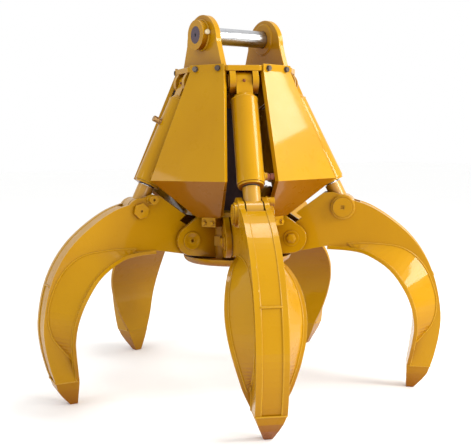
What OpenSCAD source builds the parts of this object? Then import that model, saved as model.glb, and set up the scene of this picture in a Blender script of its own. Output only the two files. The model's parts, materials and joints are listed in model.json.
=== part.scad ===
// Five-tine hydraulic orange-peel grab, standing open on its tine tips.
// The origin is the centre of the mounting pin, +X runs along that pin and +Z is up.
// Every tine station repeats one radial section: x points outwards, y is tangential, z is up.

/* [Mounting lugs] */
// Radius of the mounting pin
pin_r = 40; // [38:0.5:41]
// Clear gap between the two lugs
lug_gap = 314; // [300:2:330]
// Thickness of one lug plate
lug_plate = 26; // [22:1:30]
// Width of a lug at its foot
lug_foot = 344; // [320:2:350]
// Radius of the rounded lug top
lug_top_r = 130; // [122:1:134]

/* [Head] */
// Height of the pin centre above the head plate
pin_height = 152; // [148:1:160]
// Thickness of the head plate
head_plate = 25; // [20:1:28]
// Distance from the axis to the head plate's edge behind a cover
head_flat = 266; // [264:1:270]
// Distance from the axis to the head plate's edge above a cylinder
head_corner = 277; // [272:1:284]
// Outer radius of the central column
column_r = 110; // [90:1:120]

/* [Cylinders] */
// Distance from the axis to a cylinder's top pivot
head_pivot_x = 236; // [232:1:240]
// Distance of a cylinder's top pivot below the mounting pin
head_pivot_drop = 222; // [218:1:226]
// Outer diameter of the barrel
barrel_od = 121; // [114:1:124]
// Bore of the barrel
bore_d = 100; // [90:1:102]
// Diameter of the piston rod
rod_d = 60; // [50:1:65]
// Distance from the top pivot to the open end of the barrel
barrel_end = 505; // [495:1:510]
// Width of the barrel eye and of the rod eye
eye_width = 72; // [66:1:74]

/* [Tines] */
// Number of tines around the grab
tine_count = 5; // [5:1:5]
// Direction of the first tine, anticlockwise from the mounting pin
first_tine_angle = 172; // [165:1:180]
// Distance from the axis to a tine's hinge pin
hinge_x = 277; // [275:1:280]
// Distance of the tine hinges below the mounting pin
hinge_drop = 946; // [940:1:950]
// Rod pin outwards from the hinge pin
rod_pin_dx = 238; // [236:1:240]
// Rod pin above the hinge pin
rod_pin_dz = 146; // [145:1:148]
// Tine tip outwards from the hinge pin
tip_dx = 552; // [548:1:556]
// Tine tip below the hinge pin
tip_drop = 716; // [712:1:720]
// Width of the box section over its side plates
tine_width = 130; // [124:1:130]
// Thickness of a side plate
side_plate = 23; // [18:1:25]
// Thickness of the blade that closes the inner side
blade_plate = 16; // [12:1:18]
// Thickness of the sloping wing plates
wing_plate = 10; // [8:1:12]
// Free border of the blade outside the wing
blade_border = 18; // [14:1:20]

/* [Hub] */
// Radius of the hub drum between the hinge ears
hub_r = 185; // [170:1:190]
// Radius of the dished bottom plate
bottom_r = 262; // [250:1:266]
// Radius of the hinge pins
hinge_pin_r = 35; // [30:1:36]
// Radius of a hinge ear around its pin
ear_r = 70; // [66:1:78]
// Thickness of one hinge ear
ear_plate = 25; // [22:1:26]

/* [Covers] */
// Distance from the axis to a cover's lower edge
cover_low_x = 459; // [452:1:462]
// Half the width of a cover's lower edge
cover_low_half = 190; // [180:1:192]
// Height of the mounting pin above a cover's lower edge
cover_low_drop = 662; // [655:1:668]
// Half the width of a cover's top edge
cover_top_half = 89; // [84:1:92]
// Sheet thickness of the covers
cover_sheet = 8; // [5:1:10]

/* [Hidden] */
$fn = 64;
slack = 0.05;
pin_relief = 0.6;
port_r = 13.5;
ear_root_x = 150;
step = 360 / tine_count;
stations = [for (i = [0 : tine_count - 1]) i + 1];
head_top = -pin_height;
head_low = head_top - head_plate;
hinge_z = -hinge_drop;
rod_pin_x = hinge_x + rod_pin_dx;
rod_pin_z = hinge_z + rod_pin_dz;
head_pivot_z = -head_pivot_drop;
cyl_dx = rod_pin_x - head_pivot_x;
cyl_dz = rod_pin_z - head_pivot_z;
cyl_length = sqrt(cyl_dx * cyl_dx + cyl_dz * cyl_dz);
cyl_tilt = atan2(cyl_dx, -cyl_dz);
half_tine = tine_width / 2;
half_box = half_tine - side_plate;
lug_x = lug_gap / 2;
lug_ring = 6;
lug_boss = 33;
lug_boss_r = 68;
lug_outer = lug_x + lug_ring + lug_plate;
pin_end = lug_outer + lug_boss;
rod_pin_r = 25;
rod_boss_r = 52;
rod_boss_t = 84;
root_r = 68;
keeper_end = 100;
ear_gap = half_tine + 5;
ear_outer = ear_gap + ear_plate;
head_pin_r = 25;
head_ear_gap = eye_width / 2 + 2;
head_ear_outer = head_ear_gap + 27;
head_ear_r = 58;
head_eye_r = 43;
port_depth = 12;
upper_port_x = 134;
lower_port_x = barrel_end - 37;
gland_t = 28;
column_low = -815;
hub_top = -835;
bottom_t = 34;
bottom_low = -1067;
cover_top_x = head_flat + 0.5 + cover_sheet;
cover_low_z = -cover_low_drop;
cover_foot_x = 276;
cover_foot_half = 62;
cover_foot_z = -837;
cover_return = 22;
tooth_z = -600;
plate_weld_z = -152;
swing_clear = 16;
weld_gap = 0.3;
curve_steps = 4;
wing_start = curve_steps;

// Points of the box section's outer edge, from the rod pin round to the tooth
outer_edge = [[286, 177], [362, 151], [455, 94], [548, 14], [619, -84], [666, -201], [690, -344],
              [683, -450], [662, -547], [645, -600]];
// Blade line from the hinge to the tooth: outwards, up and half the blade's width
blade_line = [[165, -54, 66], [276, -58, 90], [357, -75, 122], [452, -134, 151], [519, -224, 164],
              [556, -316, 156], [567, -400, 136], [562, -463, 117], [553, -520, 98], [538, -600, 62]];
// Line where a wing meets the side plate, paired with the blade points from the second one on
wing_line = [[258, -24], [398, -24], [525, -47], [616, -131], [668, -270], [657, -380], [611, -450],
             [575, -492]];

paint = "#d9a212";
shade_paint = "#8a5a0a";
steel = "#b9bcc0";
dark = "#3a2730";

// ---- Shared functions ----------------------------------------------------------------------

// Smooth curve through points of any dimension, n steps to a segment
function knot(p, i) = p[max(0, min(len(p) - 1, i))];
function blend(a, b, c, d, t) =
    0.5 * (2 * b + (c - a) * t + (2 * a - 5 * b + 4 * c - d) * t * t + (3 * b - a - 3 * c + d) * t * t * t);
function curve(p, n) = concat(
    [for (i = [0 : len(p) - 2]) for (j = [0 : n - 1])
        blend(knot(p, i - 1), knot(p, i), knot(p, i + 1), knot(p, i + 2), j / n)],
    [p[len(p) - 1]]);
// Unit normal to the left of a plane curve at its point i
function heading(p, i) =
    let (d = knot(p, i + 1) - knot(p, i - 1)) [d[0], d[1]] / norm([d[0], d[1]]);
function left_of(p, i) = let (h = heading(p, i)) [-h[1], h[0]];
function shifted(p, gap) = [for (i = [0 : len(p) - 1]) [p[i][0], p[i][1]] + gap * left_of(p, i)];
function turned(p) = [for (i = [len(p) - 1 : -1 : 0]) p[i]];

outer_curve = curve(outer_edge, curve_steps);
blade_curve = curve(blade_line, curve_steps);
wing_curve = curve(wing_line, curve_steps);
blade_back = shifted(blade_curve, blade_plate);

// ---- Shared placements ---------------------------------------------------------------------

module at_station(i) {
    rotate([0, 0, first_tine_angle + step * (i - 1)])
        children();
}

module between_stations(i) {
    rotate([0, 0, first_tine_angle + step * (i - 0.5)])
        children();
}

// A plane outline in the radial section, extruded across it between two tangential positions
module across(t0, t1) {
    translate([0, t1, 0])
        rotate([90, 0, 0])
            linear_extrude(t1 - t0)
                children();
}

// The radial section measured from the hinge pin
module from_hinge() {
    translate([hinge_x, 0, hinge_z])
        children();
}

// A frame whose +X runs down the cylinder from its top pivot
module along_cylinder() {
    translate([head_pivot_x, 0, head_pivot_z])
        rotate([0, 90 - cyl_tilt, 0])
            children();
}

// A round bar along y between two tangential positions
module cross_bar(r, t0, t1) {
    translate([0, t0, 0])
        rotate([-90, 0, 0])
            cylinder(r = r, h = t1 - t0);
}

// A round bar along x between two positions
module long_bar(r, x0, x1) {
    translate([x0, 0, 0])
        rotate([0, 90, 0])
            cylinder(r = r, h = x1 - x0);
}

// Closed solid through four-point rings that follow one another, skinned with triangles that
// face outwards whichever way round the rings run
module ring_solid(rings) {
    n = len(rings);
    first = rings[0];
    ahead = (rings[1][0] + rings[1][2] - first[0] - first[2]) * cross(first[1] - first[0], first[3] - first[0]);
    quads = concat(
        [[0, 1, 2, 3]],
        [for (i = [0 : n - 2]) for (k = [0 : 3])
            [4 * i + k, 4 * i + 4 + k, 4 * i + 4 + (k + 1) % 4, 4 * i + (k + 1) % 4]],
        [[for (k = [3 : -1 : 0]) 4 * (n - 1) + k]]);
    polyhedron([for (r = rings) for (p = r) p],
               [for (q = quads) for (t = [[0, 1, 2], [0, 2, 3]])
                   ahead > 0 ? [q[t[0]], q[t[1]], q[t[2]]] : [q[t[0]], q[t[2]], q[t[1]]]],
               convexity = 6);
}

// ---- Head and lugs -------------------------------------------------------------------------

module head_outline() {
    intersection() {
        rotate(first_tine_angle + step / 2)
            circle(r = head_flat / cos(180 / tine_count), $fn = 5);
        rotate(first_tine_angle)
            circle(r = head_corner / cos(180 / tine_count), $fn = 5);
    }
}

// Edge midpoints of a five-sided circle() lie at 36 degrees, so it is turned back half a step
module top_plate() {
    color(paint)
        difference() {
            translate([0, 0, head_low])
                linear_extrude(head_plate)
                    rotate(step / 2)
                        head_outline();
            for (y = [-60, 60])
                translate([0, y, head_low - 1])
                    cylinder(r = port_r, h = head_plate + 2);
        }
}
module lug_outline() {
    arc_z = -38;
    difference() {
        union() {
            translate([0, arc_z])
                circle(r = lug_top_r, $fn = 96);
            polygon([[-lug_top_r, arc_z], [-lug_foot / 2, head_top], [lug_foot / 2, head_top],
                     [lug_top_r, arc_z]]);
        }
        translate([-lug_foot, head_top - 200])
            square([2 * lug_foot, 200]);
    }
}

// The lug on the +X side; its boss faces outwards
module lug() {
    difference() {
        union() {
            translate([lug_x + lug_ring, 0, 0])
                rotate([90, 0, 90])
                    linear_extrude(lug_plate)
                        lug_outline();
            long_bar(72, lug_x, lug_x + lug_ring);
            long_bar(lug_boss_r, lug_outer, pin_end);
        }
        long_bar(pin_r + slack, lug_x - 1, pin_end + 1);
    }
}

module lug_left() {
    color(paint)
        difference() {
            mirror([1, 0, 0])
                lug();
            keeper_place()
                cylinder(r = 8, h = 40);
        }
}

module lug_right() {
    color(paint)
        lug();
}

// The keeper screw stands on the left boss, square to the pin
module keeper_place() {
    translate([-(lug_outer + 13), 0, 0])
        rotate([84, 0, 0])
            translate([0, 0, pin_r + 2])
                children();
}

module pin_keeper() {
    color(steel)
        keeper_place() {
            cylinder(r = 8, h = 27);
            translate([0, 0, lug_boss_r - pin_r - 1.5])
                cylinder(r = 11, h = 12);
        }
}

// The pin is full size between the lugs and relieved inside them
module mount_pin() {
    color(steel)
        difference() {
            union() {
                long_bar(pin_r, 0.5 - lug_x, lug_x - 0.5);
                long_bar(pin_r - pin_relief, -pin_end, pin_end);
            }
            for (side = [-1, 1])
                translate([side * pin_end, 0, 0])
                    long_bar(7, -14, 14);
        }
}

module head_clevises() {
    color(paint)
        for (i = stations)
            at_station(i)
                for (side = [0, 1])
                    mirror([0, side, 0])
                        head_clevis();
}

module head_clevis() {
    difference() {
        union() {
            translate([head_pivot_x, 0, head_pivot_z])
                cross_bar(head_ear_r, head_ear_gap, head_ear_outer);
            across(head_ear_gap, head_ear_outer)
                polygon([[column_r + 8, head_low], [head_corner - 1, head_low],
                         [head_pivot_x + head_ear_r, head_pivot_z],
                         [head_pivot_x - head_ear_r / 2, head_pivot_z - head_ear_r * 0.86],
                         [column_r + 8, head_pivot_z - 2 * head_ear_r]]);
        }
        translate([head_pivot_x, 0, head_pivot_z])
            cross_bar(head_pin_r + slack, head_ear_gap - 1, head_ear_outer + 1);
    }
}

module head_pin(i) {
    color(paint)
        at_station(i)
            translate([head_pivot_x, 0, head_pivot_z]) {
                cross_bar(head_pin_r, -head_ear_outer, head_ear_outer);
                cross_bar(36, head_ear_outer, head_ear_outer + 6);
                cross_bar(36, -head_ear_outer - 6, -head_ear_outer);
            }
}

// ---- Column, hub and hinge ears ------------------------------------------------------------

module column() {
    color(dark)
        translate([0, 0, column_low])
            difference() {
                cylinder(r = column_r, h = head_low - column_low, $fn = 96);
                translate([0, 0, -1])
                    cylinder(r = column_r - 14, h = head_low - column_low + 2, $fn = 96);
            }
}

module hub() {
    color(shade_paint) {
        difference() {
            union() {
                translate([0, 0, bottom_low + bottom_t])
                    cylinder(r = hub_r, h = hub_top - bottom_low - bottom_t, $fn = 96);
                translate([0, 0, hub_top])
                    cylinder(r = cover_foot_x - 26, h = column_low - hub_top, $fn = 96);
                dished_bottom();
            }
            translate([0, 0, bottom_low + bottom_t])
                cylinder(r = hub_r - 20, h = hub_top - bottom_low - bottom_t, $fn = 96);
        }
        for (i = stations)
            between_stations(i) {
                cover_bracket();
                translate([hub_r - 3, -16, -975])
                    cube([13, 32, 44]);
            }
    }
}

// Bottom plate with a rounded rim
module dished_bottom() {
    rotate_extrude($fn = 120) {
        translate([0, bottom_low])
            square([bottom_r - bottom_t, bottom_t]);
        intersection() {
            translate([bottom_r - bottom_t, bottom_low + bottom_t])
                circle(r = bottom_t);
            translate([bottom_r - bottom_t, bottom_low])
                square([bottom_t, bottom_t]);
        }
    }
}

// Block that carries the foot of a cover
module cover_bracket() {
    translate([hub_r - 6, -32, hub_top - 46])
        cube([cover_foot_x - cover_sheet - hub_r + 6, 64, 46]);
}

module hinge_ear() {
    difference() {
        union() {
            from_hinge()
                cross_bar(ear_r, ear_gap, ear_outer);
            across(ear_gap, ear_outer)
                polygon([[ear_root_x, bottom_low + bottom_t], [hinge_x, hinge_z - ear_r],
                         [hinge_x + ear_r * 0.62, hinge_z + ear_r * 0.785], [240, hub_top],
                         [ear_root_x, hub_top]]);
        }
        from_hinge()
            cross_bar(hinge_pin_r + slack, ear_gap - 1, ear_outer + 1);
        translate([0, 0, bottom_low])
            cylinder(r = hub_r, h = hub_top - bottom_low + 1, $fn = 96);
    }
}

module hinge_ears() {
    color(paint)
        for (i = stations)
            at_station(i)
                for (side = [0, 1])
                    mirror([0, side, 0])
                        hinge_ear();
}

module hinge_pin(i) {
    color(paint)
        at_station(i)
            from_hinge() {
                difference() {
                    union() {
                        cross_bar(hinge_pin_r, -ear_outer, ear_outer);
                        cross_bar(42, ear_outer, ear_outer + 5);
                        cross_bar(37, -ear_outer - 5, -ear_outer);
                        translate([0, -ear_outer - 17, 0])
                            rotate([-90, 0, 0])
                                cylinder(r = 24, h = 14, $fn = 6);
                    }
                    cross_bar(9, ear_outer - 12, ear_outer + 6);
                    cross_bar(4, -ear_outer - 18, -ear_outer - 8);
                }
            }
}

// ---- Covers --------------------------------------------------------------------------------

// Side view of a cover's sheet: its face and under face, moved inwards, and a back line
function cover_section(inset, back) =
    [[cover_foot_x - inset, cover_foot_z], [cover_low_x - inset, cover_low_z],
     [cover_top_x - inset, head_low + inset / 8], [cover_top_x - back, head_low + inset / 8],
     [cover_low_x - back, cover_low_z], [cover_foot_x - 10 - inset, cover_foot_z + 16]];

// Front view of a cover, narrower by an inset on each side
function cover_front(inset) =
    let (right = [[cover_foot_half - inset, cover_foot_z - inset / 8], [cover_low_half - inset, cover_low_z],
                  [cover_top_half - inset, head_low + inset / 8]])
    concat(right, [for (p = turned(right)) [-p[0], p[1]]]);

module cover_body(inset, back) {
    intersection() {
        across(-cover_low_half, cover_low_half)
            polygon(cover_section(inset, back));
        rotate([90, 0, 90])
            linear_extrude(cover_low_x + 10)
                polygon(cover_front(inset));
    }
}

module cover(i) {
    color(paint)
        between_stations(i) {
            difference() {
                cover_body(0, cover_return);
                cover_body(cover_sheet, cover_return + 5);
            }
            translate([head_flat + 0.5, -cover_top_half, head_low - 4])
                cube([cover_sheet, 2 * cover_top_half, head_plate + 10]);
            translate([cover_foot_x - cover_sheet, -36, cover_foot_z - 42])
                cube([cover_sheet, 72, 45]);
        }
}

module cover_bolts() {
    color(steel)
        for (i = stations)
            between_stations(i)
                for (y = [-58, 58])
                    translate([head_flat + 0.5 + cover_sheet, y, head_low + head_plate / 2])
                        rotate([0, 90, 0]) {
                            cylinder(r = 13, h = 2);
                            cylinder(r = 11, h = 10, $fn = 6);
                        }
}

// ---- Cylinders -----------------------------------------------------------------------------

module barrel(i) {
    radius = barrel_od / 2;
    color(paint)
        at_station(i)
            along_cylinder()
                difference() {
                    union() {
                        cross_bar(head_eye_r, -eye_width / 2, eye_width / 2);
                        translate([0, -eye_width / 2, -38])
                            cube([84, eye_width, 76]);
                        translate([80, 0, 0])
                            rotate([0, 90, 0])
                                cylinder(r1 = 48, r2 = radius, h = 20);
                        long_bar(radius, 100, barrel_end);
                        translate([upper_port_x, 0, -radius - port_depth])
                            cylinder(r = 17, h = 2 * port_depth);
                        translate([lower_port_x, 0, 0])
                            cross_bar(17, radius - port_depth, radius + port_depth);
                    }
                    cross_bar(head_pin_r + slack, -eye_width, eye_width);
                    long_bar(bore_d / 2, 120, barrel_end + 1);
                    translate([upper_port_x, 0, -radius - port_depth - 1])
                        cylinder(r = 9, h = 2 * port_depth + 2);
                    translate([lower_port_x, 0, 0])
                        cross_bar(9, radius - port_depth - 4, radius + port_depth + 1);
                    translate([18, 0, 30])
                        cylinder(r = 7, h = 30);
                }
}

module gland(i) {
    color(shade_paint)
        at_station(i)
            along_cylinder()
                difference() {
                    union() {
                        long_bar(bore_d / 2, barrel_end - gland_t, barrel_end);
                        long_bar(barrel_od / 2 - 4, barrel_end, barrel_end + 10);
                    }
                    long_bar(rod_d / 2 + slack, barrel_end - gland_t - 1, barrel_end + 11);
                }
}

// The rod starts just inside the piston end and finishes in the eye
module rod(i) {
    eye_r = 58;
    piston_x = 150;
    color(steel)
        at_station(i)
            along_cylinder()
                difference() {
                    union() {
                        long_bar(rod_d / 2, piston_x, cyl_length - 20);
                        long_bar(38, barrel_end + 17, cyl_length - 40);
                        long_bar(bore_d / 2 - slack, piston_x, piston_x + 50);
                        translate([cyl_length, 0, 0])
                            cross_bar(eye_r, -eye_width / 2, eye_width / 2);
                    }
                    translate([cyl_length, 0, 0])
                        eye_slot();
                }
}

// Clearance slot of the rod eye, square to the rod
module eye_slot() {
    half = eye_width / 2 + 1;
    slot_r = rod_pin_r + 7;
    for (z = [-swing_clear, swing_clear])
        translate([0, 0, z])
            cross_bar(slot_r, -half, half);
    translate([-slot_r, -half, -swing_clear])
        cube([2 * slot_r, 2 * half, 2 * swing_clear]);
}

// Rod pin: a hexagon head on one side plate, a disc with a square recess on the other one's boss
module rod_pin(i) {
    color(paint)
        at_station(i)
            from_hinge()
                translate([rod_pin_dx, 0, rod_pin_dz])
                    difference() {
                        union() {
                            cross_bar(rod_pin_r, -rod_boss_t, half_tine);
                            cross_bar(44, -rod_boss_t - 8, -rod_boss_t);
                            translate([0, half_tine, 0])
                                rotate([-90, 15, 0])
                                    cylinder(r = 37, h = 20, $fn = 6);
                        }
                        translate([-9, -rod_boss_t - 9, -9])
                            cube([18, 7, 18]);
                        cross_bar(5, half_tine + 10, half_tine + 21);
                    }
}

// ---- Tines ---------------------------------------------------------------------------------

function arc(centre, r, from, to) =
    [for (k = [0 : 18]) centre + r * [cos(from + (to - from) * k / 18), sin(from + (to - from) * k / 18)]];

// Side plate outline, measured from the hinge pin: root, blade side, tooth end, outer edge, rod pin
module side_outline() {
    rod_centre = [rod_pin_dx, rod_pin_dz];
    meet = outer_edge[0] - rod_centre;
    polygon(concat(arc([0, 0], root_r, 83, 277), blade_back, turned(outer_curve),
                   arc(rod_centre, norm(meet) + 0.4, atan2(meet[1], meet[0]) + 2, 100),
                   [[190, 216], [148, 212], [19, 117], [49, 94]]));
}

module tine(i) {
    color(paint)
        at_station(i)
            from_hinge()
                difference() {
                    union() {
                        for (t = [-half_tine, half_box])
                            across(t, t + side_plate)
                                side_outline();
                        back_plate();
                        cross_bar(root_r - 6, -ear_gap + 1, ear_gap - 1);
                        translate([rod_pin_dx, 0, rod_pin_dz])
                            cross_bar(rod_boss_r, -rod_boss_t, -half_tine + 1);
                        keeper_place_at_rod()
                            cross_bar(20, half_box + 2, keeper_end);
                    }
                    keeper_place_at_rod()
                        cross_bar(6, keeper_end - 10, keeper_end + 1);
                    cross_bar(hinge_pin_r + slack, -ear_gap, ear_gap);
                    translate([rod_pin_dx, 0, rod_pin_dz])
                        cross_bar(rod_pin_r + slack, -rod_boss_t - 1, half_tine + 1);
                }
}

// Place of the round boss beside the rod pin that takes the pin's keeper screw
module keeper_place_at_rod() {
    translate([rod_pin_dx - 55, 0, rod_pin_dz + 49])
        children();
}

// Outer plate between the side plates, let in a little more below the weld
module back_plate() {
    first = 2;
    last = len(outer_curve) - 1;
    weld = len([for (p = outer_curve) if (p[1] > plate_weld_z) p]);
    whole = [for (i = [first : last]) outer_curve[i]];
    upper = [for (i = [first : weld]) outer_curve[i]];
    lower = [for (i = [weld : last]) outer_curve[i]];
    across(-half_box - 1, half_box + 1)
        polygon(concat(shifted(upper, -2), shifted(lower, -4), turned(shifted(whole, -22))));
}

// Blade: a curved plate whose width follows blade_line, with a sloping wing on each side
module blade(i) {
    color(paint)
        at_station(i)
            from_hinge() {
                ring_solid([for (k = [0 : len(blade_curve) - 1]) blade_ring(k)]);
                for (side = [0, 1])
                    mirror([0, side, 0])
                        ring_solid([for (k = [0 : len(wing_curve) - 1]) wing_ring(k)]);
            }
}

function blade_ring(k) =
    let (a = blade_curve[k], b = blade_back[k], w = a[2])
    [[a[0], -w, a[1]], [a[0], w, a[1]], [b[0], w, b[1]], [b[0], -w, b[1]]];

// A wing leans from the blade's back to the side plate; both of its edges lie on those plates
function wing_ring(k) =
    let (n = wing_start + k,
         base = blade_back[n] + weld_gap * left_of(blade_curve, n),
         corner = [base[0], half_tine + weld_gap, base[1]],
         foot = [base[0], blade_curve[n][2] - blade_border, base[1]],
         top = [wing_curve[k][0], half_tine + weld_gap, wing_curve[k][1]])
    [foot, top, toward(top, corner), toward(foot, corner)];

function toward(p, q) = p + (q - p) * min(0.6, 1.4 * wing_plate / norm(q - p));

// Cast tooth: tapers in both directions to a blunt tip
module tooth(i) {
    tip = [tip_dx, -tip_drop];
    color(paint)
        at_station(i)
            from_hinge()
                intersection() {
                    across(-half_tine, half_tine)
                        polygon([[538, tooth_z], [645, tooth_z], [634, tooth_z - 36], [612, tooth_z - 70],
                                 [588, tooth_z - 98], [tip[0] + 20, tip[1]], [tip[0] - 15, tip[1]]]);
                    rotate([90, 0, 90])
                        linear_extrude(800)
                            polygon([[-64, tooth_z], [64, tooth_z], [50, tooth_z - 40], [18, tip[1]],
                                     [-18, tip[1]], [-50, tooth_z - 40]]);
                }
}

// ---- Output --------------------------------------------------------------------------------

top_plate();
lug_left();
lug_right();
column();
hub();
hinge_ears();
head_clevises();
cover_bolts();
mount_pin();
pin_keeper();
for (i = stations) {
    tine(i);
    blade(i);
    tooth(i);
    rod_pin(i);
    barrel(i);
    gland(i);
    rod(i);
    hinge_pin(i);
    head_pin(i);
    cover(i);
}
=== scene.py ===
"""Looks of a five-tine orange-peel grab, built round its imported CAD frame."""
import json
import math

import bmesh
import bpy
from mathutils import Matrix, Vector


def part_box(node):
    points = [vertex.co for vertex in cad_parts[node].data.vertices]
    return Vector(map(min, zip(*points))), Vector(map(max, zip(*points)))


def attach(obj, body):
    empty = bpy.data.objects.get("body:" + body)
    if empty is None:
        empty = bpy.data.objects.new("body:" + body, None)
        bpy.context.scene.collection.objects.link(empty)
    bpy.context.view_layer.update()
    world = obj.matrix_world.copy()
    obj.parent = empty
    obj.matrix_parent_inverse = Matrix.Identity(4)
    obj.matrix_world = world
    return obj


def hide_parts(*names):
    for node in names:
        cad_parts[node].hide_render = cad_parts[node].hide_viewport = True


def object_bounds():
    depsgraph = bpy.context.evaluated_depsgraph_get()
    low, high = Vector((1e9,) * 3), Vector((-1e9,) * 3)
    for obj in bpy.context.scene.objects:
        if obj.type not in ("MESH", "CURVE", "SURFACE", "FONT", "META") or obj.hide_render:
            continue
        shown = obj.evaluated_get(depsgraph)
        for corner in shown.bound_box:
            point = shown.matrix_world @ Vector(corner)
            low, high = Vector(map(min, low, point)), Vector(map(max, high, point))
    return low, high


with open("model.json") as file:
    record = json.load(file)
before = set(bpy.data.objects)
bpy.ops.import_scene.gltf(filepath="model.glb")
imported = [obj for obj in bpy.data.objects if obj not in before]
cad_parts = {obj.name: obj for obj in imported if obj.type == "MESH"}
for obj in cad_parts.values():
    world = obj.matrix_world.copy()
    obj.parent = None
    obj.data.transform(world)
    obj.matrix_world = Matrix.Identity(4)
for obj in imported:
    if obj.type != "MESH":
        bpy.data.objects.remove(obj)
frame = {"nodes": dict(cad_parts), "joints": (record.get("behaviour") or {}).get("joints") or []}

MM = 0.001
NODES = frame["nodes"]
JOINTS = {j["name"]: j for j in frame["joints"]}
STATIONS = range(1, 6)
CAD_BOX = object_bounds()

# Radial section of a tine in millimetres from its hinge pin: outwards, up (and half width)
OUTER_EDGE = [(286, 177), (362, 151), (455, 94), (548, 14), (619, -84), (666, -201), (690, -344),
              (683, -450), (662, -547), (645, -600)]
BLADE_LINE = [(165, -54, 66), (276, -58, 90), (357, -75, 122), (452, -134, 151), (519, -224, 164),
              (556, -316, 156), (567, -400, 136), (562, -463, 117), (553, -520, 98), (538, -600, 62)]
WING_LINE = [(258, -24), (398, -24), (525, -47), (616, -131), (668, -270), (657, -380), (611, -450),
             (575, -492)]
BLADE_PLATE = 16
BLADE_BORDER = 18
TINE_HALF = 65
BOX_HALF = 42

# Places along a cylinder from its top pivot, and how far its ports stand from its axis
CONE_END = 100
UPPER_PORT = 134
LOWER_PORT = 468
SIDE_ADAPTOR = 223
PORT_FACE = 72
BARREL_SKIN = 60
ROD_NECK = 0.52


# ---- Geometry helpers --------------------------------------------------------------------

def smooth_curve(points, steps=6):
    """Catmull-Rom curve through points of any dimension."""
    last = len(points) - 1
    out = []
    for i in range(last):
        a, b, c, d = (points[max(0, min(last, i + k))] for k in (-1, 0, 1, 2))
        for s in range(steps):
            t = s / steps
            out.append(tuple(
                0.5 * (2 * q + (r - p) * t + (2 * p - 5 * q + 4 * r - w) * t * t
                       + (3 * q - p - 3 * r + w) * t ** 3)
                for p, q, r, w in zip(a, b, c, d)))
    out.append(tuple(points[last]))
    return out


def shifted(points, gap):
    """The plane curve moved to its left by a gap."""
    out = []
    last = len(points) - 1
    for i, p in enumerate(points):
        a, b = points[max(0, i - 1)], points[min(last, i + 1)]
        along = Vector((b[0] - a[0], b[1] - a[1])).normalized()
        out.append((p[0] - gap * along.y, p[1] + gap * along.x))
    return out


def station_matrix(i):
    """From a tine's radial section, in metres from its hinge pin, to the row frame."""
    hinge = Vector(JOINTS[f"tine_close_{i}"]["pos_m"])
    turn = math.atan2(hinge.y, hinge.x)
    return Matrix.Translation(hinge) @ Matrix.Rotation(turn, 4, "Z")


def cylinder_matrix(i):
    """From a frame whose +X runs down the cylinder, in metres from its head pin, to the row frame."""
    pivot = Vector(JOINTS[f"cylinder_swing_{i}"]["pos_m"])
    down = Vector(JOINTS[f"rod_stroke_{i}"]["axis"]).normalized()
    side = Vector(JOINTS[f"cylinder_swing_{i}"]["axis"]).normalized()
    up = down.cross(side)
    turn = Matrix((down, side, up)).transposed().to_4x4()
    return Matrix.Translation(pivot) @ turn


def cover_matrix(i):
    """From the radial section half a step past station i to the row frame."""
    hinge = Vector(JOINTS[f"tine_close_{i}"]["pos_m"])
    turn = math.atan2(hinge.y, hinge.x) + math.pi / len(STATIONS)
    return Matrix.Rotation(turn, 4, "Z")


class Shape:
    """Collects tubes and turned pieces into one mesh, in millimetres before its matrix."""

    def __init__(self, matrix=Matrix.Identity(4)):
        self.matrix = matrix
        self.points = []
        self.faces = []

    def add(self, points, faces, matrix=None):
        first = len(self.points)
        place = self.matrix if matrix is None else self.matrix @ matrix
        self.points += [place @ (Vector(p) * MM) for p in points]
        self.faces += [[first + k for k in f] for f in faces]

    def bead(self, path, radius=5.0, closed=False, pitch=6.0, sides=7):
        """A weld bead: a rippled tube along a path, with tapered ends where it is open."""
        route = resample([Vector(p) for p in path], pitch / 2, closed)
        count = len(route)
        if count < 3:
            return
        rings = []
        for n, p in enumerate(route):
            before = route[(n - 1) % count] if closed or n else route[0]
            after = route[(n + 1) % count] if closed or n < count - 1 else route[-1]
            along = (after - before).normalized()
            across = along.cross(Vector((0.13, 0.31, 0.94))).normalized()
            up = across.cross(along)
            size = radius * (0.9 + 0.12 * (n % 2))
            if not closed:
                size *= min(1.0, 0.35 + 0.3 * min(n, count - 1 - n))
            rings.append([p + size * (math.cos(a) * across + math.sin(a) * up)
                          for a in (2 * math.pi * k / sides for k in range(sides))])
        self.loft(rings, closed)

    def loft(self, rings, closed=False):
        """Skin between rings of points, closed into a loop or capped at both ends."""
        sides = len(rings[0])
        total = len(rings)
        faces = []
        for n in range(total if closed else total - 1):
            m = (n + 1) % total
            for k in range(sides):
                q = (k + 1) % sides
                faces.append([n * sides + k, n * sides + q, m * sides + q, m * sides + k])
        if not closed:
            faces.append(list(range(sides))[::-1])
            faces.append([(total - 1) * sides + k for k in range(sides)])
        self.add([p for ring in rings for p in ring], faces)

    def turned(self, profile, matrix, sides=40):
        """A piece turned about local +X: the profile lists (along, radius)."""
        rings = [[(x, r * math.cos(a), r * math.sin(a))
                  for a in (2 * math.pi * k / sides for k in range(sides))] for x, r in profile]
        keep = self.matrix
        self.matrix = keep @ matrix
        self.loft(rings)
        self.matrix = keep

    def hexagon(self, across, height, matrix):
        """A bolt head with a chamfered top, standing along local +X."""
        r = across / 2 / math.cos(math.pi / 6)
        profile = [(0, r), (height * 0.82, r), (height, r * 0.86), (height, r * 0.3)]
        self.turned(profile, matrix, sides=6)

    def build(self, name, body, material, flat=False):
        mesh = bpy.data.meshes.new(name)
        mesh.from_pydata([tuple(p) for p in self.points], [], self.faces)
        mesh.update()
        obj = bpy.data.objects.new(name, mesh)
        bpy.context.scene.collection.objects.link(obj)
        if not flat:
            shade_by_angle(mesh, 40)
        mesh.materials.append(material)
        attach(obj, body)
        return obj


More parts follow.
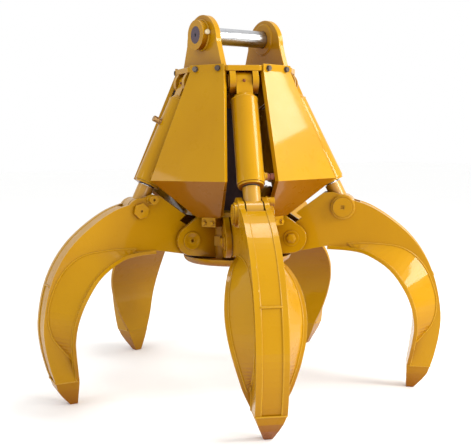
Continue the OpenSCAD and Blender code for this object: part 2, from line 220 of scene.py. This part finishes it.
def resample(path, spacing, closed=False):
    """Evenly spaced points along a path."""
    ends = path + [path[0]] if closed else path
    out = []
    carry = 0.0
    for a, b in zip(ends, ends[1:]):
        length = (b - a).length
        t = carry
        while t < length:
            out.append(a.lerp(b, t / length))
            t += spacing
        carry = t - length
    if not closed:
        out.append(ends[-1])
    return out


def shade_by_angle(mesh, degrees):
    """Smooth faces with sharp edges wherever two faces meet at more than an angle."""
    work = bmesh.new()
    work.from_mesh(mesh)
    bmesh.ops.recalc_face_normals(work, faces=work.faces)
    limit = math.radians(degrees)
    for face in work.faces:
        face.smooth = True
    for edge in work.edges:
        edge.smooth = edge.is_manifold and edge.calc_face_angle(4.0) < limit
    work.to_mesh(mesh)
    work.free()


def circle_points(centre, radius, axis, count=48):
    """Points round a circle about an axis."""
    axis = Vector(axis).normalized()
    start = axis.orthogonal().normalized()
    side = axis.cross(start)
    return [Vector(centre) + radius * (math.cos(a) * start + math.sin(a) * side)
            for a in (2 * math.pi * k / count for k in range(count))]


# ---- Materials ---------------------------------------------------------------------------

class Graph:
    """A short way to write a node material."""

    def __init__(self, name):
        self.material = bpy.data.materials.new(name)
        self.material.use_nodes = True
        self.tree = self.material.node_tree
        self.shader = self.tree.nodes["Principled BSDF"]
        self.coords = self.node("ShaderNodeTexCoord").outputs["Object"]

    def node(self, kind, **settings):
        n = self.tree.nodes.new(kind)
        for key, value in settings.items():
            setattr(n, key, value)
        return n

    def link(self, a, b):
        self.tree.links.new(a, b)

    def noise(self, scale, detail=3.0, rough=0.5, stretch=(1, 1, 1)):
        mapping = self.node("ShaderNodeMapping")
        mapping.inputs["Scale"].default_value = stretch
        self.link(self.coords, mapping.inputs["Vector"])
        n = self.node("ShaderNodeTexNoise")
        n.inputs["Scale"].default_value = scale
        n.inputs["Detail"].default_value = detail
        n.inputs["Roughness"].default_value = rough
        self.link(mapping.outputs["Vector"], n.inputs["Vector"])
        return n.outputs["Fac"]

    def spread(self, value, low, high, out_low=0.0, out_high=1.0):
        n = self.node("ShaderNodeMapRange")
        n.inputs["From Min"].default_value = low
        n.inputs["From Max"].default_value = high
        n.inputs["To Min"].default_value = out_low
        n.inputs["To Max"].default_value = out_high
        self.link(value, n.inputs["Value"])
        return n.outputs["Result"]

    def maths(self, operation, a, b):
        n = self.node("ShaderNodeMath", operation=operation)
        for socket, value in zip(n.inputs, (a, b)):
            if isinstance(value, (int, float)):
                socket.default_value = value
            else:
                self.link(value, socket)
        return n.outputs["Value"]

    def mix(self, factor, a, b):
        n = self.node("ShaderNodeMix", data_type="RGBA")
        for socket, value in ((n.inputs[0], factor), (n.inputs[6], a), (n.inputs[7], b)):
            if isinstance(value, (int, float)):
                socket.default_value = value
            elif isinstance(value, tuple):
                socket.default_value = (*value, 1.0)
            else:
                self.link(value, socket)
        return n.outputs[2]

    def edges(self, radius):
        """1 on outer edges and corners, 0 on open faces."""
        bevel = self.node("ShaderNodeBevel", samples=4)
        bevel.inputs["Radius"].default_value = radius
        plain = self.node("ShaderNodeNewGeometry").outputs["Normal"]
        dot = self.node("ShaderNodeVectorMath", operation="DOT_PRODUCT")
        self.link(bevel.outputs["Normal"], dot.inputs[0])
        self.link(plain, dot.inputs[1])
        return self.spread(dot.outputs["Value"], 0.99, 0.80)

    def shade_in_hollows(self, distance):
        """1 deep in corners, 0 in the open: where painted shade goes."""
        n = self.node("ShaderNodeAmbientOcclusion", samples=6)
        n.inputs["Distance"].default_value = distance
        return self.maths("SUBTRACT", 1.0, n.outputs["AO"])

    def bump(self, height, strength, distance):
        n = self.node("ShaderNodeBump")
        n.inputs["Strength"].default_value = strength
        n.inputs["Distance"].default_value = distance
        self.link(height, n.inputs["Height"])
        self.link(n.outputs["Normal"], self.shader.inputs["Normal"])

    def facing_down(self):
        """1 on undersides, 0 on upright faces: where the warm shade under the grab is painted in."""
        z = self.node("ShaderNodeSeparateXYZ")
        geometry = self.node("ShaderNodeNewGeometry")
        self.link(geometry.outputs["Normal"], z.inputs[0])
        return self.spread(self.maths("MULTIPLY", z.outputs["Z"], -1.0), -0.1, 0.7)

    def set(self, **values):
        names = {"color": "Base Color", "rough": "Roughness", "metal": "Metallic", "coat": "Coat Weight",
                 "coat_rough": "Coat Roughness", "specular": "Specular IOR Level",
                 "tint": "Specular Tint"}
        for key, value in values.items():
            socket = self.shader.inputs[names[key]]
            if isinstance(value, tuple):
                socket.default_value = (*value, 1.0)
            elif isinstance(value, (int, float)):
                socket.default_value = value
            else:
                self.link(value, socket)


YELLOW = (0.43, 0.215, 0.0008)
YELLOW_CLOUD = (0.39, 0.185, 0.0008)
# paler edge colour: worn paint and a painted highlight
YELLOW_EDGE_WEAR_AND_HIGHLIGHT = (0.66, 0.46, 0.08)
# painted shade colour, used in corners and on undersides
YELLOW_PAINTED_SHADE = (0.165, 0.030, 0.0006)
YELLOW_DUSTY = (0.30, 0.13, 0.008)


def painted(graph):
    """Yellow enamel colour: cloudy, with faint runs of dust, painted shade in corners and on undersides,
    and edges paler from chipped wear and a painted highlight.
    """
    cloud = graph.spread(graph.noise(2.2, 4.0), 0.35, 0.65)
    base = graph.mix(cloud, YELLOW_CLOUD, YELLOW)
    runs = graph.spread(graph.noise(9.0, 5.0, 0.6, (1, 1, 0.16)), 0.55, 0.78)
    base = graph.mix(graph.maths("MULTIPLY", runs, 0.18), base, YELLOW_DUSTY)
    # Painted shade: darker in corners and hollows
    corner = graph.spread(graph.shade_in_hollows(0.16), 0.20, 0.85)
    base = graph.mix(graph.maths("MULTIPLY", corner, 0.8), base, YELLOW_PAINTED_SHADE)
    # Painted shade: darker on faces turned down
    base = graph.mix(graph.maths("MULTIPLY", graph.facing_down(), 0.7), base, YELLOW_PAINTED_SHADE)
    # Edges paler: chipped wear mixed with a painted highlight along every edge
    chip = graph.spread(graph.noise(55.0, 6.0, 0.65), 0.40, 0.70)
    edge = graph.maths("MULTIPLY", graph.edges(0.005), graph.maths("ADD", 0.25, chip))
    return graph.mix(graph.maths("MULTIPLY", edge, 0.4), base, YELLOW_EDGE_WEAR_AND_HIGHLIGHT)


def paint_material(name, rough=0.30, plain=None):
    g = Graph(name)
    g.set(color=plain or painted(g), rough=graph_rough(g, rough), coat=0.26, coat_rough=0.05, specular=0.12,
          tint=(1.0, 0.8, 0.3))
    g.bump(g.noise(320.0, 2.0), 0.05, 0.0006)
    return g.material


def graph_rough(g, rough):
    return g.spread(g.noise(14.0, 5.0, 0.6), 0.3, 0.7, rough - 0.07, rough + 0.12)


def weld_material():
    """Painted over weld metal: a little duller, with spatter round it."""
    g = Graph("painted_weld")
    ripple = g.noise(260.0, 3.0)
    g.set(color=g.mix(g.spread(ripple, 0.3, 0.7), YELLOW_CLOUD, (0.46, 0.24, 0.004)),
          rough=g.spread(ripple, 0.3, 0.7, 0.24, 0.42), coat=0.1, coat_rough=0.2, specular=0.2)
    g.bump(ripple, 0.35, 0.0012)
    return g.material


def steel_material(name, color, rough, stretch, dark_ends=None):
    """Ground or plated steel with fine lines; dark_ends blackens the ends of a bar along x."""
    g = Graph(name)
    lines = g.noise(60.0, 8.0, 0.7, stretch)
    stain = g.spread(g.noise(7.0, 4.0, 0.6), 0.45, 0.75)
    tone = g.mix(g.spread(lines, 0.3, 0.7), tuple(0.78 * c for c in color), color)
    tone = g.mix(g.maths("MULTIPLY", stain, 0.35), tone, (0.30, 0.27, 0.25))
    metal = 1.0
    if dark_ends is not None:
        x = g.node("ShaderNodeSeparateXYZ")
        g.link(g.coords, x.inputs[0])
        outside = g.spread(g.maths("ABSOLUTE", x.outputs["X"], 0.0), dark_ends - 0.0015, dark_ends - 0.0005)
        tone = g.mix(outside, tone, (0.055, 0.028, 0.045))
        metal = g.spread(outside, 0.0, 1.0, 1.0, 0.25)
    g.set(color=tone, metal=metal, rough=g.spread(lines, 0.3, 0.7, rough - 0.06, rough + 0.10))
    g.bump(lines, 0.08, 0.0004)
    return g.material


def shade_dark_material():
    """Near-black with dust, on what lies behind the covers: its darkness is painted shade in the slots
    between them.
    """
    g = Graph("dark_primer")
    dust = g.spread(g.noise(11.0, 5.0, 0.6), 0.35, 0.75)
    g.set(color=g.mix(g.maths("MULTIPLY", dust, 0.6), (0.022, 0.008, 0.012), (0.075, 0.028, 0.02)),
          rough=g.spread(dust, 0.0, 1.0, 0.55, 0.8))
    g.bump(g.noise(90.0, 4.0), 0.2, 0.001)
    return g.material


def fitting_material():
    """Reddish-brown finish of the port fittings."""
    g = Graph("fitting_brown")
    cloud = g.noise(40.0, 4.0)
    g.set(color=g.mix(cloud, (0.16, 0.035, 0.012), (0.24, 0.06, 0.02)), rough=0.42, specular=0.4)
    return g.material


def rubber_material():
    g = Graph("seal_rubber")
    grain = g.noise(150.0, 3.0)
    g.set(color=g.mix(grain, (0.012, 0.011, 0.011), (0.035, 0.032, 0.03)), rough=0.6)
    g.bump(grain, 0.2, 0.0005)
    return g.material


def rod_material(i, painted_from):
    """Enamel over the eye and the bare end of the rod; hard chrome where it runs in the gland."""
    g = Graph(f"rod_{i}")
    matrix = cylinder_matrix(i)
    down = matrix.to_3x3() @ Vector((1, 0, 0))
    offset = self_distance(g, matrix.translation, down)
    chrome = g.spread(offset, painted_from, painted_from + 0.002, 1.0, 0.0)
    lines = g.noise(40.0, 6.0, 0.7, (1, 1, 1))
    tone = g.mix(chrome, painted(g), g.mix(lines, (0.62, 0.63, 0.65), (0.78, 0.79, 0.80)))
    g.set(color=tone, metal=chrome, rough=g.spread(chrome, 0.0, 1.0, 0.32, 0.12), coat=0.2)
    g.bump(g.noise(320.0, 2.0), 0.05, 0.0005)
    return g.material


def self_distance(g, origin, direction):
    """Distance of a point along a direction, from an origin in object coordinates."""
    away = g.node("ShaderNodeVectorMath", operation="SUBTRACT")
    g.link(g.coords, away.inputs[0])
    away.inputs[1].default_value = tuple(origin)
    dot = g.node("ShaderNodeVectorMath", operation="DOT_PRODUCT")
    g.link(away.outputs["Vector"], dot.inputs[0])
    dot.inputs[1].default_value = tuple(direction)
    return dot.outputs["Value"]


def floor_material():
    g = Graph("pale_floor")
    g.set(color=g.mix(g.noise(1.5, 3.0), (0.985, 0.985, 0.98), (1.0, 1.0, 0.995)), rough=0.9, specular=0.1)
    return g.material


# ---- CAD nodes ---------------------------------------------------------------------------

def finish_cad(name, material, width=2.0):
    """Gives a CAD node its material, slightly broken edges and flat shading on its flat faces."""
    obj = NODES[name]
    obj.data.materials.clear()
    obj.data.materials.append(material)
    weld = obj.modifiers.new("join", "WELD")
    weld.merge_threshold = 0.00003
    flat = obj.modifiers.new("flatten", "DECIMATE")
    flat.decimate_type = "DISSOLVE"
    flat.angle_limit = math.radians(0.6)
    if width:
        bevel = obj.modifiers.new("broken_edges", "BEVEL")
        bevel.width = width * MM
        bevel.segments = 2
        bevel.limit_method = "ANGLE"
        bevel.angle_limit = math.radians(38)
        bevel.harden_normals = False
        bevel.use_clamp_overlap = True
        weighted = obj.modifiers.new("flat_faces_lead", "WEIGHTED_NORMAL")
        weighted.weight = 100
        weighted.keep_sharp = True


# ---- Detail pieces -----------------------------------------------------------------------

def tine_welds(i, material):
    """Beads along the wings, the blade, the back plate, the bosses and the tooth."""
    shape = Shape(station_matrix(i))
    outer = smooth_curve(OUTER_EDGE, 8)
    blade = smooth_curve(BLADE_LINE, 8)
    wing = smooth_curve(WING_LINE, 8)
    back = shifted(blade, BLADE_PLATE)
    start = 8
    for side in (-1, 1):
        shape.bead([(x, side * (TINE_HALF + 1), z) for x, z in wing], 4.0)
        feet = []
        for n in range(len(wing)):
            x, z = back[start + n]
            feet.append((x, side * (blade[start + n][2] - BLADE_BORDER + 1), z))
        shape.bead(feet, 3.6)
        shape.bead([(x, side * (TINE_HALF + 1), z) for x, z in back[:start + 1]], 3.6)
        tail = start + len(wing) - 2
        shape.bead([(x, side * (TINE_HALF + 1), z) for x, z in back[tail:]], 3.6)
        inset = shifted(outer, -3)
        shape.bead([(x, side * (BOX_HALF - 1), z) for x, z in inset[4:]], 3.6)
    shape.bead(circle_points((238, -TINE_HALF - 1, 146), 53, (0, 1, 0)), 5.0, closed=True)
    shape.bead(circle_points((183, TINE_HALF + 1, 195), 21, (0, 1, 0), 30), 4.0, closed=True)
    shape.bead(loop_of_tooth(), 4.2, closed=True)
    weld = shifted([p for p in outer if p[1] < -140][:3], -1)[1]
    shape.bead([(weld[0], y, weld[1]) for y in range(-46, 47, 4)], 5.0)
    lip = shifted(outer, -3)[4]
    shape.bead([(lip[0], y, lip[1]) for y in range(-42, 43, 4)], 3.6)
    return shape.build(f"welds_tine_{i}", f"tine_{i}", material)


def loop_of_tooth():
    """Rectangle round the joint of tooth and tine."""
    low = -600
    corners = [(548, -62), (645, -62), (645, 62), (548, 62)]
    out = []
    for n, (x, y) in enumerate(corners):
        a, b = corners[(n + 1) % 4]
        for k in range(12):
            out.append((x + (a - x) * k / 12, y + (b - y) * k / 12, low))
    return out


def bolt(shape, matrix, across=24, height=14, washer=17):
    """Hexagon head on a washer, along local +X of a matrix."""
    shape.turned([(0, 8), (0, washer), (2.2, washer), (3, washer - 1), (3, 8)], matrix, sides=28)
    shape.hexagon(across, height, matrix @ Matrix.Translation((3 * MM, 0, 0)))


def nipple(shape, matrix):
    """Grease nipple along local +X."""
    shape.turned([(0, 6), (0, 7), (5, 7), (5.5, 4.5), (10, 4.5), (11, 5), (13.5, 5), (16, 2.5), (16, 0.5)],
                 matrix, sides=16)


def along(direction, place=(0, 0, 0)):
    """Matrix whose +X points in a direction, at a place in millimetres."""
    turn = Vector(direction).to_track_quat("X", "Z").to_matrix().to_4x4()
    return Matrix.Translation(Vector(place) * MM) @ turn


def hinge_pin_piece(i, paint):
    """Turned pin flanges: a dished disc on one side, a hexagon nut on the other."""
    shape = Shape(station_matrix(i))
    far = 95
    disc = [(-2 * far + 2, 34.9), (0, 34.9), (0, 40), (1, 42), (4, 42), (5, 41), (5, 30), (3.6, 28),
            (3.6, 13), (5.5, 12), (5.5, 8), (-6, 7), (-6, 0.5)]
    shape.turned(disc, along((0, 1, 0), (0, far, 0)), sides=56)
    nut = [(-2, 34), (0, 36), (1, 37), (4, 37), (5, 36), (5, 24), (5, 10)]
    shape.turned(nut, along((0, -1, 0), (0, -far, 0)), sides=56)
    shape.hexagon(41, 12, along((0, -1, 0), (0, -far - 5, 0)))
    piece = shape.build(f"hinge_pin_head_{i}", "frame", paint)
    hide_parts(f"hinge_pin_{i}")
    return piece


def cylinder_trim(i, paint, rubber, brown):
    """Weld rings, port fittings, grease nipple and wiper ring on one barrel."""
    matrix = cylinder_matrix(i)
    welds = Shape(matrix)
    welds.bead(circle_points((CONE_END, 0, 0), BARREL_SKIN - 0.5, (1, 0, 0), 60), 3.5, closed=True)
    welds.bead(circle_points((UPPER_PORT, 0, -BARREL_SKIN), 18, (0, 0, 1), 30), 3.5, closed=True)
    welds.bead(circle_points((LOWER_PORT, BARREL_SKIN, 0), 18, (0, 1, 0), 30), 3.5, closed=True)
    welds.build(f"welds_barrel_{i}", f"barrel_{i}", paint)
    greaser = Shape(matrix)
    nipple(greaser, along((0, 0, 1), (18, 0, 32)))
    greaser.build(f"nipple_{i}", f"barrel_{i}", brown)
    ports = Shape(matrix)
    ports.hexagon(26, 10, along((0, 0, -1), (UPPER_PORT, 0, -PORT_FACE)))
    place = along((0, 1, 0), (LOWER_PORT, PORT_FACE, 0))
    ports.hexagon(28, 11, place)
    ports.turned([(10, 6), (10, 11), (16, 11), (16, 15), (33, 15), (35, 13), (35, 0.5)], place, sides=28)
    ports.build(f"port_fittings_{i}", f"barrel_{i}", brown)
    seal = Shape(matrix)
    seal.turned([(513, 30.6), (517, 30.6), (518.5, 33), (517.5, 36), (514, 37), (513, 37)],
                Matrix.Identity(4), sides=48)
    seal.build(f"wiper_{i}", f"barrel_{i}", rubber)


def side_adaptor(bronze):
    """Adaptor on the outer side of the first barrel."""
    shape = Shape(cylinder_matrix(1))
    place = along((0, 0, 1), (SIDE_ADAPTOR, 0, BARREL_SKIN - 2))
    shape.turned([(0, 8), (0, 15), (9, 15), (9, 10), (14, 10), (14, 14), (38, 14), (40, 12), (40, 0.5)],
                 place, sides=28)
    return shape.build("side_adaptor", "barrel_1", bronze)


def cover_trim(dark, paint):
    """Two flange bolts at the top of each cover and two at its foot."""
    low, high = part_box("top_plate")
    mid = (low.z + high.z) / 2 / MM
    top = Shape()
    foot = Shape()
    for i in STATIONS:
        top.matrix = foot.matrix = cover_matrix(i)
        for y in (-58, 58):
            bolt(top, along((1, 0, 0), (274.5, y, mid)), across=22, height=9, washer=13)
        for y in (-21, 21):
            bolt(foot, along((1, 0, 0), (276, y, -862)), across=18, height=8, washer=11)
    foot.build("cover_foot_bolts", "frame", paint)
    heads = top.build("cover_bolt_heads", "frame", dark)
    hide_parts("cover_bolts")


def head_welds(material):
    """Beads round the lug feet, the lug bosses and the lug rings."""
    shape = Shape()
    low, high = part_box("top_plate")
    top = high.z / MM
    for node, sign in (("lug_left", -1), ("lug_right", 1)):
        inner, outer = sign * 164, sign * 188
        half = 169
        corners = [(inner, -half), (outer, -half), (outer, half), (inner, half)]
        path = []
        for n, (x, y) in enumerate(corners):
            a, b = corners[(n + 1) % 4]
            path += [(x + (a - x) * k / 10, y + (b - y) * k / 10, top) for k in range(10)]
        shape.bead(path, 7.0, closed=True)
        shape.bead(circle_points((sign * 190, 0, 0), 69, (1, 0, 0)), 5.5, closed=True)
        shape.bead(circle_points((sign * 163, 0, 0), 73, (1, 0, 0)), 4.0, closed=True)
    return shape.build("welds_lugs", "frame", material)


# ---- Camera, light and floor -------------------------------------------------------------

CAMERA_TURN = math.radians(236.19)
CAMERA_DISTANCE = 3.9707
CAMERA_HEIGHT = -0.4927
CAMERA_DOWN = math.radians(5.66)
CAMERA_YAW = math.radians(-0.10)
CAMERA_ROLL = math.radians(-0.54)
FOCAL_IN_WIDTHS = 818.9 / 471


def viewer(right, back, up):
    """A point given to the camera's right, towards the camera and above the mounting pin."""
    b = Vector((math.cos(CAMERA_TURN), math.sin(CAMERA_TURN), 0))
    r = Vector((-b.y, b.x, 0))
    return right * r + back * b + Vector((0, 0, up))


def make_camera():
    data = bpy.data.cameras.new("camera")
    data.sensor_width = 36.0
    data.lens = 36.0 * FOCAL_IN_WIDTHS
    data.clip_end = 200
    cam = bpy.data.objects.new("camera", data)
    bpy.context.scene.collection.objects.link(cam)
    ahead = -viewer(0, 1, 0)
    right = viewer(1, 0, 0)
    up = Vector((0, 0, 1))
    forward = math.cos(CAMERA_DOWN) * (math.cos(CAMERA_YAW) * ahead + math.sin(CAMERA_YAW) * right)
    forward -= math.sin(CAMERA_DOWN) * up
    side = math.cos(CAMERA_YAW) * right - math.sin(CAMERA_YAW) * ahead
    top = side.cross(forward)
    x_axis = math.cos(CAMERA_ROLL) * side + math.sin(CAMERA_ROLL) * top
    y_axis = -math.sin(CAMERA_ROLL) * side + math.cos(CAMERA_ROLL) * top
    turn = Matrix((x_axis, y_axis, -forward)).transposed().to_4x4()
    cam.matrix_world = Matrix.Translation(viewer(0, CAMERA_DISTANCE, CAMERA_HEIGHT)) @ turn
    bpy.context.scene.camera = cam


def area_light(name, place, target, size, power, color=(1, 1, 1)):
    data = bpy.data.lights.new(name, "AREA")
    data.shape = "RECTANGLE"
    data.size, data.size_y = size
    data.energy = power
    data.color = color
    obj = bpy.data.objects.new(name, data)
    bpy.context.scene.collection.objects.link(obj)
    obj.location = place
    obj.visible_camera = False
    obj.rotation_euler = (Vector(target) - Vector(place)).to_track_quat("-Z", "Y").to_euler()


def make_light():
    middle = Vector((0, 0, (CAD_BOX[0].z + CAD_BOX[1].z) / 2))
    area_light("key", viewer(3.6, 1.9, 0.5), middle, (1.1, 1.3), 115, (1.0, 0.99, 0.93))
    area_light("sheen", viewer(3.6, 0.3, 1.9), middle, (1.7, 1.1), 105, (1.0, 1.0, 0.95))
    area_light("front_strip", viewer(2.3, 3.9, -0.2), middle, (0.13, 2.2), 34, (1.0, 0.98, 0.95))
    area_light("overhead", viewer(0.4, -0.2, 2.6), middle, (0.8, 0.8), 24)
    area_light("left_strip", viewer(-3.4, 1.6, 0.2), middle, (0.5, 2.2), 16)
    world = bpy.data.worlds.new("studio")
    bpy.context.scene.world = world
    world.use_nodes = True
    back = world.node_tree.nodes["Background"]
    back.inputs["Color"].default_value = (1.0, 1.0, 1.0, 1.0)
    back.inputs["Strength"].default_value = 1.0


def make_floor():
    mesh = bpy.data.meshes.new("floor")
    z = CAD_BOX[0].z
    half = 30.0
    corners = [(-half, -half, z), (half, -half, z), (half, half, z), (-half, half, z)]
    mesh.from_pydata(corners, [], [(0, 1, 2, 3)])
    floor = bpy.data.objects.new("floor", mesh)
    bpy.context.scene.collection.objects.link(floor)
    mesh.materials.append(floor_material())


# ---- Assembly ----------------------------------------------------------------------------

def dress_cad(paint, shade_dark, pin, cream, dark):
    """Materials and broken edges for every CAD node that stays."""
    finish_cad("top_plate", paint, 2.5)
    for name in ("lug_left", "lug_right"):
        finish_cad(name, paint, 2.5)
    for name in ("hub", "hinge_ears", "head_clevises"):
        finish_cad(name, paint, 2.0)
    # the column is near-black: painted shade seen through the slots between the covers
    finish_cad("column", shade_dark, 0)
    finish_cad("mount_pin", pin, 2.0)
    finish_cad("pin_keeper", cream, 0.8)
    finish_cad("cover_bolts", dark, 0)
    for i in STATIONS:
        for part in ("tine", "blade", "tooth", "rod_pin", "barrel", "head_pin", "cover"):
            finish_cad(f"{part}_{i}", paint, 2.0)
        finish_cad(f"gland_{i}", paint, 1.5)
        finish_cad(f"hinge_pin_{i}", paint, 1.5)
        finish_cad(f"rod_{i}", rod_material(i, ROD_NECK), 1.5)


def main():
    make_camera()
    make_light()
    make_floor()
    paint = paint_material("yellow_enamel")
    weld = weld_material()
    pin = steel_material("ground_steel", (0.50, 0.51, 0.53), 0.27, (0.12, 1, 1), dark_ends=0.222)
    dark = steel_material("dark_bolts", (0.10, 0.08, 0.07), 0.45, (1, 1, 1))
    bronze = steel_material("bronze", (0.42, 0.24, 0.09), 0.38, (1, 1, 1))
    brown = fitting_material()
    cream = paint_material("cream_enamel", 0.34, (0.72, 0.62, 0.40))
    shade_dark = shade_dark_material()
    rubber = rubber_material()
    dress_cad(paint, shade_dark, pin, cream, dark)
    for i in STATIONS:
        tine_welds(i, weld)
        hinge_pin_piece(i, paint)
        cylinder_trim(i, weld, rubber, brown)
    side_adaptor(bronze)
    cover_trim(dark, paint)
    head_welds(weld)
    bpy.context.scene.view_settings.view_transform = "Standard"


main()
